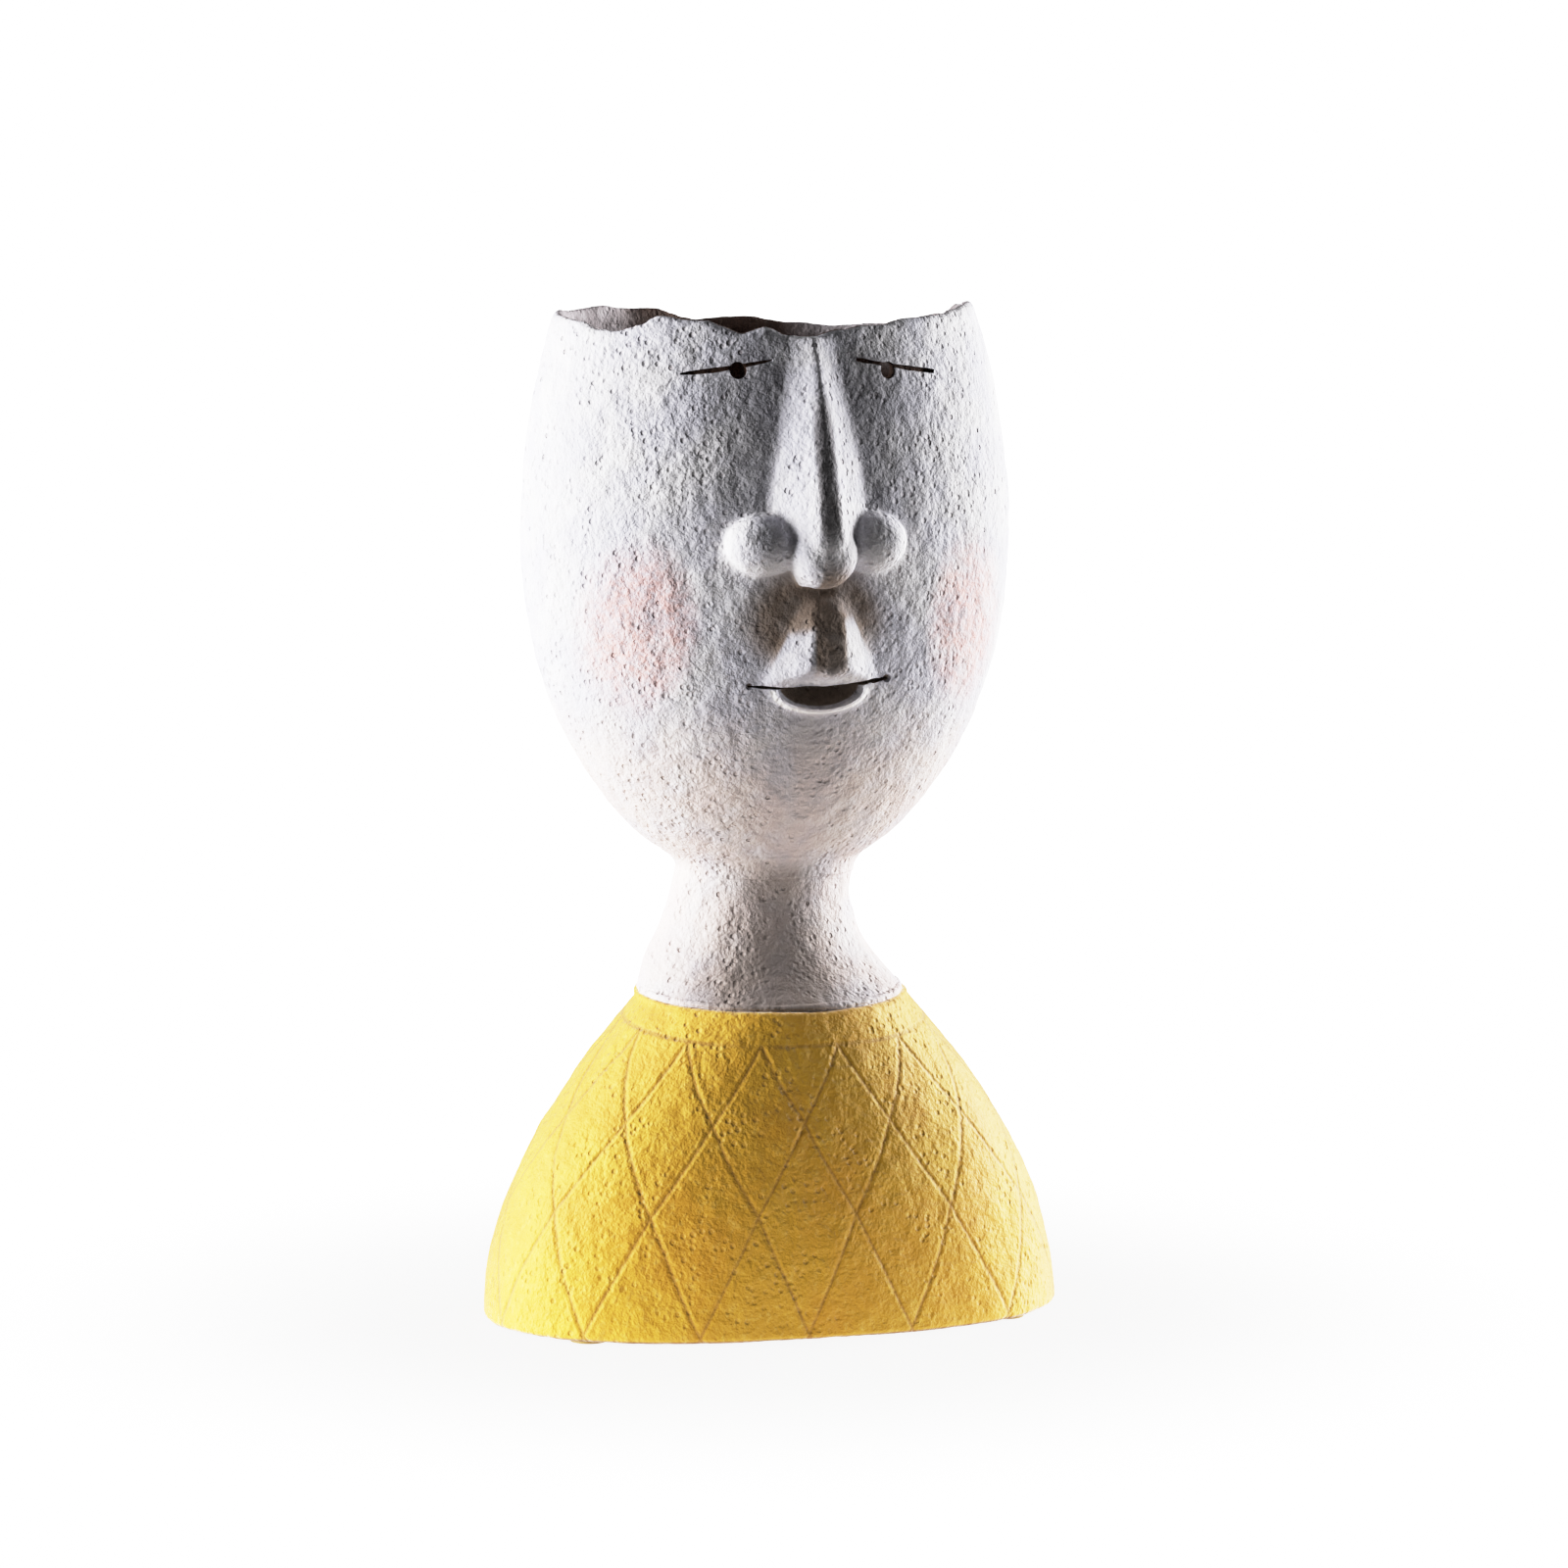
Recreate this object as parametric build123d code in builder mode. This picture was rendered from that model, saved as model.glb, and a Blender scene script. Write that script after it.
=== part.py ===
from build123d import *
from math import asin, copysign, cos, pi, radians, sin, sqrt
import os

# A planter in the shape of a head on a neck and a low bust, in millimetres.
# The origin is on the table under the middle of the base. The face looks along -Y and +Z is up.
# It is three clay castings, luted together with two coils of clay, with a rubber stopper in the
# drain hole and four rubber pads under the foot ring.

os.makedirs("parts", exist_ok=True)

# Head: an egg that is widest at its centre height and flatter from front to back
head_half_width = 81.0
head_half_depth = 66.4
head_centre = 256.2         # height of the widest part above the table
head_drop = 113.7           # from there down to the egg's lower pole
head_rise = 145.5           # from there up to the egg's upper pole, above the torn rim
head_wall = 6.5
rim_wall_gain = 8.0         # the cavity's upper pole stands this much higher, so the rim thins out
bowl_floor = 160.0          # height of the flat floor inside the bowl

# Torn rim: heights round the opening, every 15 degrees from +X towards the back
rim_low = 323.6
rim_wave = 9.5              # from the lowest to the highest place of the tear
rim_shares = (
    0.95, 0.58, 0.25, 0.09, 0.02, 0.18, 0.27, 0.43, 0.65, 0.78, 0.69, 0.67,
    0.65, 0.51, 0.20, 0.64, 0.59, 0.28, 0.11, 0.38, 0.59, 0.72, 0.92, 1.00,
)

# Nose: a long wedge from the rim down to a blunt overhanging tip
nose_length = 90.0
nose_tip_height = 245.0
nose_half_width = 17.6
nose_ridge_half_width = 3.0
nose_reach = 11.6           # how far the tip stands out from the egg
nose_down_shares = (0.0, 0.28, 0.59, 0.80, 0.89, 0.95, 1.0)
nose_width_shares = (0.28, 0.54, 0.90, 1.0, 0.76, 0.50, 0.30)
nose_ridge_shares = (0.20, 0.35, 0.65, 0.90, 1.0, 1.0, 0.80)
nose_reach_shares = (0.28, 0.42, 0.66, 0.90, 1.0, 0.88, 0.45)

# Nostrils: two round balls beside the tip
nostril_spread = 19.5       # from the middle of the face to a ball's centre
nostril_height = 257.8
nostril_radius = 10.8
ball_end_angle = radians(76)  # the ball's sections stop short of its poles

# Eyes: pin-holes right through the wall
eye_spread = 24.7
eye_height = 312.8
eye_hole_radius = 2.9

# Mouth: a trapezoid upper lip, a slit, and an open crescent lower lip
lip_top_height = 239.0
lip_bottom_height = 214.0
lip_half_width = 18.0
lip_face_half_width = 5.5
lip_reach = 7.5
lip_down_shares = (0.0, 0.5, 0.88, 1.0)
lip_width_shares = (0.40, 0.70, 1.0, 0.95)
lip_face_shares = (0.50, 0.80, 1.0, 1.5)
lip_reach_shares = (0.15, 0.62, 0.95, 1.0)
slit_height = 212.4
slit_half_width = 24.2
slit_width = 1.6
slit_depth = 2.5
lower_lip_half_width = 15.0
lower_lip_drop = 8.5        # from the slit down to the lowest point of the lip
lower_lip_reach = 6.0
lower_lip_rim = 2.0
mouth_pocket_depth = 2.5    # how far the open mouth goes in behind the face

# Drain hole in the middle of the bowl's floor, with a recess for the stopper's flange
drain_radius = 8.0
drain_recess_radius = 13.0
drain_recess_depth = 3.5
spigot_length = 6.0         # the boss under the head that locates it in the neck

# Neck: a short casting that leans back between the chin and the collar
neck_waist = 29.6           # half width under the chin
neck_wall = 8.0
neck_bow = 7.0              # how far the middle of the neck lies behind the line of its ends
neck_sway = 1.8             # and how far it leans to the object's own right, as it was pressed on
neck_up_shares = (0.0, 0.12, 0.22, 0.40, 0.70, 1.0)
neck_spread_shares = (1.0, 0.78, 0.60, 0.30, 0.03, 0.0)
neck_bow_shares = (0.0, 0.55, 0.85, 1.0, 0.75, 0.0)
seat_width = 5.0            # flat ring on the collar that carries the neck
tail_wall = 5.0             # the neck's tail goes down into the bust's throat
tail_length = 9.0
coil_width = 3.0
coil_height = 2.4
seat_clearance = 0.3        # round the boss, the tail and the coils

# Collar: where the neck meets the bust, on a plane that is lower at the front
collar_height = 107.4       # on the axis
collar_fall = 5.3           # from the back of the collar down to its front
collar_half_width = 45.3
collar_half_depth = 39.8
collar_step = 0.8           # the bust's edge stands out from the neck by this much

# Bust: superellipse sections that spread from the collar to the base
bust_half_width = 96.3
bust_half_depth = 57.9
bust_wall = 9.0
bust_ceiling = 10.0         # thickness over the hollow, below the collar
foot_ring_width = 15.0
foot_ring_height = 10.0
shoulder_drop = 2.1         # the flare ends this far below the collar's middle
collar_lip = 6.0            # how far the collar runs up before the slanting cut
base_squareness = 2.3
collar_squareness = 2.0
flare_power = 1.9
bust_up_shares = (0.0, 0.15, 0.30, 0.45, 0.59, 0.72, 0.83, 0.92, 1.0)

# Round outlines are polygons, finer outside than in the hollows
outer_sides = 48
hollow_sides = 36
ball_sides = 20
egg_bands = 16
hollow_bands = 11
ball_bands = 9

# Rubber pieces
stopper_clearance = 0.15
stopper_flange = 12.5
stopper_flange_height = 3.0
stopper_length = 9.0
stopper_knob_radius = 3.5
stopper_knob_height = 4.0
pad_radius = 6.0
pad_height = 2.0
pad_recess = 1.2
pad_clearance = 0.2
pad_turn_share = 0.11       # where each pad lies, as a share of a full turn from the +X side

overrun = 5.0               # cuts run past the faces they open
tear_outer_share = 1.2      # the cut that tears the rim reaches from outside the egg
tear_inner_share = 0.5      # to well inside the opening

# The nose tip reaches out in front of the egg, so the egg sits back by half of that and the
# whole object is centred over its base from front to back
head_offset = nose_reach / 2
head_depth_share = head_half_depth / head_half_width
rim_top = rim_low + rim_wave
pad_proud = pad_height - pad_recess
bust_shoulder = collar_height - shoulder_drop
bust_rise = bust_shoulder - pad_proud

# The neck ends where the egg is as wide as the neck
chin_share = sqrt(1 - (neck_waist / head_half_width) ** 2)
chin_height = head_centre - head_drop * chin_share
neck_foot = collar_half_width - collar_step
collar_share = collar_half_depth / collar_half_width
collar_slope = collar_fall / (2 * collar_half_depth)
collar_plane = Plane(origin=(0, 0, collar_height), x_dir=(1, 0, 0), z_dir=(0, -collar_slope, 1))
tail_inset = coil_width + seat_width


def face_y(x, z):
    """Y of the egg's front surface at x and z."""
    height = head_rise if z > head_centre else head_drop
    left = 1 - (x / head_half_width) ** 2 - ((z - head_centre) / height) ** 2
    return head_offset - head_half_depth * sqrt(max(left, 0))


def superellipse(half_width, half_depth, squareness, turn_share):
    """A point on a superellipse, with the turn counted from +X as a share of a full turn."""
    across = cos(2 * pi * turn_share)
    along = sin(2 * pi * turn_share)
    power = 2 / squareness
    x = half_width * copysign(abs(across) ** power, across)
    y = half_depth * copysign(abs(along) ** power, along)
    return x, y


def ring(plane, half_width, half_depth, middle=(0, 0), squareness=2, sides=outer_sides):
    """Points round an outline on a plane: an ellipse, or a squarer one where that is asked for."""
    points = []
    for number in range(sides):
        x, y = superellipse(half_width, half_depth, squareness, number / sides)
        points.append(plane.from_local_coords(Vector(middle[0] + x, middle[1] + y)))
    return points


def outline(plane, half_width, half_depth, middle=(0, 0), squareness=2, sides=outer_sides):
    """The flat face inside such a ring."""
    return Face(Wire.make_polygon(ring(plane, half_width, half_depth, middle, squareness, sides)))


def skin(rings, flat=False):
    """A closed solid over a stack of rings, in flat facets: triangles, or quads where they are flat."""
    facets = [Face(Wire.make_polygon(rings[0])), Face(Wire.make_polygon(rings[-1]))]
    for lower, upper in zip(rings, rings[1:]):
        for number in range(len(lower)):
            following = (number + 1) % len(lower)
            corners = [lower[number], lower[following], upper[following], upper[number]]
            if flat:
                facets.append(Face(Wire.make_polygon(corners)))
            else:
                facets.append(Face(Wire.make_polygon(corners[:3])))
                facets.append(Face(Wire.make_polygon(corners[2:] + corners[:1])))
    return Solid(Shell(facets))


def round_rings(middle, half_width, half_depth, drop, rise, first, last, bands, sides):
    """Level rings of an egg or a ball, in equal steps of the angle seen from its centre."""
    rings = []
    for number in range(bands + 1):
        turn = first + (last - first) * number / bands
        lift = sin(turn) * (rise if turn > 0 else drop)
        plane = Plane.XY.offset(middle.Z + lift)
        across = half_width * cos(turn)
        along = half_depth * cos(turn)
        rings.append(ring(plane, across, along, (middle.X, middle.Y), sides=sides))
    return rings


def egg(inset, gain, low, high, bands, sides):
    """The head's egg between two heights, drawn in by the inset, with its upper pole raised by the gain."""
    middle = Vector(0, head_offset, head_centre)
    half_width = head_half_width - inset
    half_depth = head_half_depth - inset
    drop = head_drop - inset
    rise = head_rise + gain
    first = -asin((head_centre - low) / drop)
    last = asin((high - head_centre) / rise)
    rings = round_rings(middle, half_width, half_depth, drop, rise, first, last, bands, sides)
    return skin(rings, flat=True)


def rim_curve(width_share):
    """A closed wavy line round the opening, at the torn rim's heights."""
    points = []
    for number, share in enumerate(rim_shares):
        angle = 2 * pi * number / len(rim_shares)
        x = head_half_width * width_share * cos(angle)
        y = head_offset + head_half_depth * width_share * sin(angle)
        points.append((x, y, rim_low + rim_wave * share))
    return Edge.make_spline([Vector(point) for point in points], periodic=True)


def wedge_section(z, half_width, face_half_width, reach):
    """A level slice through a wedge on the face: wide at the egg, narrow at its front face."""
    front = face_y(0, z) - reach
    root = face_y(half_width, z)
    with BuildSketch(Plane.XY.offset(z)) as section:
        with BuildLine():
            Polyline(
                (-half_width, root + head_wall),
                (-half_width, root),
                (-face_half_width, front),
                (face_half_width, front),
                (half_width, root),
                (half_width, root + head_wall),
                close=True,
            )
        make_face()
    return section.sketch


def nose():
    sections = []
    for down, width, ridge, reach in zip(
        nose_down_shares, nose_width_shares, nose_ridge_shares, nose_reach_shares
    ):
        z = nose_tip_height + nose_length * (1 - down)
        half_width = nose_half_width * width
        sections.append(wedge_section(z, half_width, nose_ridge_half_width * ridge, nose_reach * reach))
    loft(sections, ruled=True)


def nostril(side):
    """A ball beside the nose tip, half sunk in the face."""
    x = side * nostril_spread
    middle = Vector(x, face_y(x, nostril_height), nostril_height)
    radii = [nostril_radius] * 4
    return skin(round_rings(middle, *radii, -ball_end_angle, ball_end_angle, ball_bands, ball_sides), flat=True)


def upper_lip():
    sections = []
    for down, width, face, reach in zip(
        lip_down_shares, lip_width_shares, lip_face_shares, lip_reach_shares
    ):
        z = lip_top_height + (lip_bottom_height - lip_top_height) * down
        half_width = lip_half_width * width
        sections.append(wedge_section(z, half_width, lip_face_half_width * face, lip_reach * reach))
    loft(sections, ruled=True)


def crescent(y, half_width, drop):
    """The lower lip's outline on an upright plane at y: a level top and an arc below it."""
    with BuildSketch(Plane.XZ.offset(-y)) as section:
        with BuildLine():
            ThreePointArc((-half_width, slit_height), (0, slit_height - drop), (half_width, slit_height))
            Line((half_width, slit_height), (-half_width, slit_height))
        make_face()
    return section.sketch


def lower_lip():
    back = face_y(0, slit_height) + head_wall
    extrude(crescent(back, lower_lip_half_width, lower_lip_drop), amount=head_wall + lower_lip_reach)


def open_mouth():
    back = face_y(0, slit_height) + mouth_pocket_depth
    outline = crescent(back, lower_lip_half_width - lower_lip_rim, lower_lip_drop - lower_lip_rim)
    extrude(outline, amount=mouth_pocket_depth + lip_reach + overrun, mode=Mode.SUBTRACT)
    slit_back = face_y(slit_half_width, slit_height) + slit_depth
    with BuildSketch(Plane.XZ.offset(-slit_back)) as slit:
        with Locations((0, slit_height)):
            Rectangle(2 * slit_half_width, slit_width)
    reach = slit_back - face_y(0, slit_height) + lip_reach + overrun
    extrude(slit.sketch, amount=reach, mode=Mode.SUBTRACT)


def eyes():
    with BuildSketch(Plane.XZ) as holes:
        with Locations((-eye_spread, eye_height), (eye_spread, eye_height)):
            Circle(eye_hole_radius)
    extrude(holes.sketch, amount=head_half_depth + overrun, mode=Mode.SUBTRACT)


def drain_circle(z, radius):
    """A circle about the drain's axis at a height."""
    with BuildSketch(Plane.XY.offset(z)) as section:
        with Locations((0, head_offset)):
            Circle(radius)
    return section.sketch


def chin_outline(inset, z):
    """A level outline under the chin, drawn in from the neck's outside by the inset."""
    half_depth = neck_waist * head_depth_share
    return outline(Plane.XY.offset(z), neck_waist - inset, half_depth - inset, (0, head_offset))


# The space inside the bowl, down to its flat floor
with BuildPart() as bowl_space:
    add(egg(head_wall, rim_wall_gain, bowl_floor, rim_top + overrun, hollow_bands, hollow_sides))

with BuildPart() as head_bowl:
    add(egg(0, 0, chin_height, rim_top + overrun / 2, egg_bands, outer_sides))
    nose()
    add(nostril(-1))
    add(nostril(1))
    upper_lip()
    lower_lip()
    extrude(chin_outline(neck_wall, chin_height), amount=-spigot_length)
    add(bowl_space.part, mode=Mode.SUBTRACT)
    recess = drain_circle(bowl_floor - drain_recess_depth, drain_recess_radius)
    extrude(recess, amount=drain_recess_depth + overrun, mode=Mode.SUBTRACT)
    hole = drain_circle(chin_height - spigot_length - overrun, drain_radius)
    extrude(hole, amount=bowl_floor - chin_height + spigot_length + overrun, mode=Mode.SUBTRACT)
    tear = Face.make_surface_from_curves(rim_curve(tear_outer_share), rim_curve(tear_inner_share))
    extrude(tear, amount=head_rise, dir=(0, 0, 1), mode=Mode.SUBTRACT)
    open_mouth()
    eyes()
head_bowl.part.label = "head_bowl"
export_step(head_bowl.part, "parts/head_bowl.step")


def neck_rings(foot_inset, chin_inset, sides):
    """Level rings from the collar up to the chin, drawn in from the neck's outside."""
    rings = []
    for up, spread, bow in zip(neck_up_shares, neck_spread_shares, neck_bow_shares):
        half_width = neck_waist + (neck_foot - neck_waist) * spread
        half_depth = half_width * (collar_share + (head_depth_share - collar_share) * up)
        inset = foot_inset + (chin_inset - foot_inset) * up
        plane = Plane.XY.offset(collar_height + (chin_height - collar_height) * up)
        middle = (-neck_sway * bow, head_offset * up + neck_bow * bow)
        rings.append(ring(plane, half_width - inset, half_depth - inset, middle, sides=sides))
    return rings


def collar_outline(inset, plane=collar_plane):
    """An outline at the collar, drawn in from the neck's foot by the inset."""
    return outline(plane, neck_foot - inset, neck_foot * collar_share - inset)


def collar_ring(outer_inset, inner_inset):
    """The flat ring between two outlines on the collar, about the foot of the neck."""
    return collar_outline(outer_inset) - collar_outline(inner_inset)


def chin_ring(outer_inset, inner_inset):
    """The flat ring between two outlines under the chin, at the foot of the coil of clay."""
    z = chin_height - coil_height
    return chin_outline(outer_inset, z) - chin_outline(inner_inset, z)


# The hollow in the neck: wide at the tail, and a plain wall under the chin
with BuildPart() as neck_space:
    add(skin(neck_rings(tail_inset + tail_wall, neck_wall, hollow_sides)))
    extrude(collar_outline(tail_inset + tail_wall), amount=-tail_length - overrun)
    extrude(collar_outline(tail_inset + tail_wall), amount=overrun)
    socket_floor = chin_height - spigot_length - seat_clearance
    socket_height = spigot_length + seat_clearance + overrun
    extrude(chin_outline(neck_wall - seat_clearance, socket_floor), amount=socket_height)

with BuildPart() as neck:
    add(skin(neck_rings(0, 0, outer_sides)))
    extrude(collar_outline(0, Plane.XY.offset(collar_height)), amount=-collar_lip)
    split(bisect_by=collar_plane, keep=Keep.TOP)
    extrude(collar_outline(tail_inset), amount=-tail_length)
    add(neck_space.part, mode=Mode.SUBTRACT)
    extrude(chin_ring(-overrun, coil_width), amount=coil_height, mode=Mode.SUBTRACT)
    extrude(collar_ring(-overrun, coil_width), amount=coil_height, mode=Mode.SUBTRACT)
neck.part.label = "neck"
export_step(neck.part, "parts/neck.step")

with BuildPart() as chin_clay_coil:
    extrude(chin_ring(0, coil_width - seat_clearance), amount=coil_height)
chin_clay_coil.part.label = "chin_clay_coil"
export_step(chin_clay_coil.part, "parts/chin_clay_coil.step")

with BuildPart() as collar_clay_coil:
    extrude(collar_ring(0, coil_width - seat_clearance), amount=coil_height)
collar_clay_coil.part.label = "collar_clay_coil"
export_step(collar_clay_coil.part, "parts/collar_clay_coil.step")


def bust_sizes(z, inset):
    """The bust's half width, half depth and squareness at a height, drawn in by the inset."""
    up = (z - pad_proud) / bust_rise
    spread = 1 - up ** flare_power
    half_width = collar_half_width + (bust_half_width - collar_half_width) * spread - inset
    half_depth = collar_half_depth + (bust_half_depth - collar_half_depth) * spread - inset
    squareness = collar_squareness + (base_squareness - collar_squareness) * spread
    return half_width, half_depth, squareness


def bust_outline(z, inset, sides):
    half_width, half_depth, squareness = bust_sizes(z, inset)
    return outline(Plane.XY.offset(z), half_width, half_depth, (0, 0), squareness, sides)


def pad_places():
    """The middles of the four rubber pads, on the middle line of the foot ring."""
    half_width = bust_half_width - foot_ring_width / 2
    half_depth = bust_half_depth - foot_ring_width / 2
    x, y = superellipse(half_width, half_depth, base_squareness, pad_turn_share)
    return {"front_left": (-x, -y), "front_right": (x, -y), "back_left": (-x, y), "back_right": (x, y)}


def bust_body(low, high, inset, sides):
    """The bust between a low and a high place, drawn in by the inset."""
    rings = []
    for up in bust_up_shares:
        z = low + (high - low) * up
        half_width, half_depth, squareness = bust_sizes(z, inset)
        rings.append(ring(Plane.XY.offset(z), half_width, half_depth, (0, 0), squareness, sides))
    return skin(rings)


with BuildPart() as bust:
    add(bust_body(pad_proud, bust_shoulder, 0, outer_sides))
    extrude(bust_outline(bust_shoulder, 0, outer_sides), amount=collar_lip)
    split(bisect_by=collar_plane, keep=Keep.BOTTOM)
    # the hollow, over a wider foot ring
    hollow_foot = pad_proud + foot_ring_height
    hollow_top = bust_shoulder - bust_ceiling
    add(bust_body(hollow_foot, hollow_top, bust_wall, hollow_sides), mode=Mode.SUBTRACT)
    foot_opening = bust_outline(pad_proud, foot_ring_width, hollow_sides)
    extrude(foot_opening, amount=foot_ring_height + overrun, mode=Mode.SUBTRACT)
    # the throat that takes the neck's tail
    throat = collar_outline(tail_inset - seat_clearance)
    extrude(throat, amount=-bust_ceiling - collar_lip - overrun, mode=Mode.SUBTRACT)
    with BuildSketch(Plane.XY.offset(pad_proud)):
        with Locations(*pad_places().values()):
            Circle(pad_radius + pad_clearance)
    extrude(amount=pad_recess, mode=Mode.SUBTRACT)
bust.part.label = "bust"
export_step(bust.part, "parts/bust.step")

with BuildPart() as drain_plug:
    ledge = bowl_floor - drain_recess_depth
    shank = drain_radius - stopper_clearance
    with BuildSketch(Plane.XZ.offset(-head_offset)):
        with BuildLine():
            Polyline(
                (0, ledge - stopper_length),
                (shank, ledge - stopper_length),
                (shank, ledge),
                (stopper_flange, ledge),
                (stopper_flange, ledge + stopper_flange_height),
                (stopper_knob_radius, ledge + stopper_flange_height),
                (stopper_knob_radius, ledge + stopper_flange_height + stopper_knob_height),
                (0, ledge + stopper_flange_height + stopper_knob_height),
                close=True,
            )
        make_face()
    revolve(axis=Axis((0, head_offset, 0), (0, 0, 1)))
drain_plug.part.label = "drain_plug"
export_step(drain_plug.part, "parts/drain_plug.step")

for place, middle in pad_places().items():
    with BuildPart() as rubber_foot:
        with BuildSketch(Plane.XY):
            with Locations(middle):
                Circle(pad_radius)
        extrude(amount=pad_height)
    rubber_foot.part.label = f"rubber_foot_{place}"
    export_step(rubber_foot.part, f"parts/rubber_foot_{place}.step")
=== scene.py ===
# %% [markdown]
# # A clay head planter
# This lesson dresses a planter in the shape of a stylised head on a neck and a low bust. The
# measured model of its castings comes in first, as a frame that stays where it is. Painting that
# model would be quicker, but it is made of flat facets. So each visible casting is made again at
# the same place, with the softness, the roughness and the colours of hand-finished clay.

# %% The frame
from math import asin, atan2, copysign, cos, pi, radians, sin, sqrt, tanh

import bmesh
import bpy
import numpy as np
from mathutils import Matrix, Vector, noise


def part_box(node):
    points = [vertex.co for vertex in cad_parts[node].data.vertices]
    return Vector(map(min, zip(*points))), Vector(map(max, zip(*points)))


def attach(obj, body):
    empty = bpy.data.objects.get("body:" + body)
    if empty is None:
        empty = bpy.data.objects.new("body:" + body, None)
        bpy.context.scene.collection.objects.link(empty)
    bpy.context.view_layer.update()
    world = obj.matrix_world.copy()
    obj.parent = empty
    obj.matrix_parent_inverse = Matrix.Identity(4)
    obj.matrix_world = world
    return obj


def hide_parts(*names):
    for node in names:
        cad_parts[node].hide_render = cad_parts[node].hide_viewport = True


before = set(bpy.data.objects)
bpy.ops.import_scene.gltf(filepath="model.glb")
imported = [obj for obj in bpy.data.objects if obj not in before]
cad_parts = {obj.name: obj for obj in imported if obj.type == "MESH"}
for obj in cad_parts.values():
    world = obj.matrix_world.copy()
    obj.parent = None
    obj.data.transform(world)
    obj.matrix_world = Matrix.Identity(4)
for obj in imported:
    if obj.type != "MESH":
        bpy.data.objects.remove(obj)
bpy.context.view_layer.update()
MM = 0.001

# %% [markdown]
# ## Sizes
# Sizes are read from the frame where it holds them. The rest are those that the castings were
# drawn with, in millimetres. They could be typed in where they are used, but names explain them.

# %% Sizes
def box_mm(node):
    """A frame node's lowest and highest corner in millimetres."""
    low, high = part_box(node)
    return Vector(low) / MM, Vector(high) / MM


head_low, head_high = box_mm("head_bowl")
bust_low, bust_high = box_mm("bust")

head_offset = 5.8  # the egg sits back so that the nose doesn't tip the planter
head_centre = 256.2  # the height where the egg is widest
head_half_width = 81.0
head_half_depth = 66.4
head_drop = 113.7  # from the centre down to the egg's lowest point
head_rise = 145.5  # from the centre up to where the whole egg would close
head_wall = 6.5
rim_wall_gain = 8.0  # the inside would close this much higher, so the wall thins at the rim
bowl_floor = 160.0
chin_height = 150.4
spigot_height = head_low.z
drain_radius = 8.0
recess_radius = 13.0
recess_depth = 3.5
neck_waist = 29.6
collar_height = 107.4
collar_slope = 0.0666  # the collar falls towards the face
collar_half_width = 45.3
collar_half_depth = 39.8
bust_foot = bust_low.z
bust_half_width = bust_high.x
bust_half_depth = bust_high.y
depth_share = head_half_depth / head_half_width
print("head from", round(head_low.z, 1), "to", round(head_high.z, 1), "mm above the table")

# %% [markdown]
# ## Node trees as plain expressions
# A shader is easier to read as arithmetic than as a list of nodes and links. `Wire` wraps one
# output socket, so `1 - mask` or `height * 0.4` adds the Math nodes by itself. `Tree` is the node
# tree of a material or of the world, and its `node` method makes every other node.

# %% Wires
def operator(operation, reflected=False):
    """A method that adds a Math node for one of Python's operators."""
    def method(self, other=0.0):
        pair = (other, self) if reflected else (self, other)
        return self.tree.node("ShaderNodeMath", {"operation": operation}, dict(enumerate(pair)))
    return method


class Wire:
    """One output of a node, which can stand in a Python expression."""

    def __init__(self, tree, socket):
        self.tree = tree
        self.socket = socket

    __add__, __radd__ = operator("ADD"), operator("ADD", True)
    __sub__, __rsub__ = operator("SUBTRACT"), operator("SUBTRACT", True)
    __mul__, __rmul__ = operator("MULTIPLY"), operator("MULTIPLY", True)
    __truediv__, __rtruediv__ = operator("DIVIDE"), operator("DIVIDE", True)
    __pow__, __rpow__ = operator("POWER"), operator("POWER", True)
    __abs__ = operator("ABSOLUTE")
    least = operator("MINIMUM")
    most = operator("MAXIMUM")

    def ease(self, start, end):
        """0 at start and 1 at end, with a smooth passage between them."""
        settings = {"interpolation_type": "SMOOTHSTEP"}
        return self.tree.node("ShaderNodeMapRange", settings, {"Value": self, 1: start, 2: end})


class Tree:
    """The node tree of a material or of the world."""

    def __init__(self, owner):
        owner.use_nodes = True
        self.owner = owner
        self.owner.node_tree.nodes.clear()

    def node(self, kind, settings=None, inputs=None, output=0):
        """Adds a node: first its settings, then the values or wires of its inputs."""
        tree = self.owner.node_tree
        made = tree.nodes.new(kind)
        for key, value in (settings or {}).items():
            setattr(made, key, value)
        for key, value in (inputs or {}).items():
            if isinstance(value, Wire):
                tree.links.new(value.socket, made.inputs[key])
            else:
                made.inputs[key].default_value = value
        return Wire(self, made.outputs[output]) if made.outputs else None


print("expressions can stand for nodes")

# %% [markdown]
# A `Finish` is a material that knows where each point lies in millimetres, so a mask can use the
# castings' own heights. Images could be wrapped round the clay, but noise in space has no seams.

# %% Finishes
def paint(red, green, blue):
    """A colour as it reads on a screen, from 0 to 255, as the light that Blender counts."""
    light = [(channel / 255) ** 2.2 for channel in (red, green, blue)]
    return (*light, 1.0)


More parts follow.
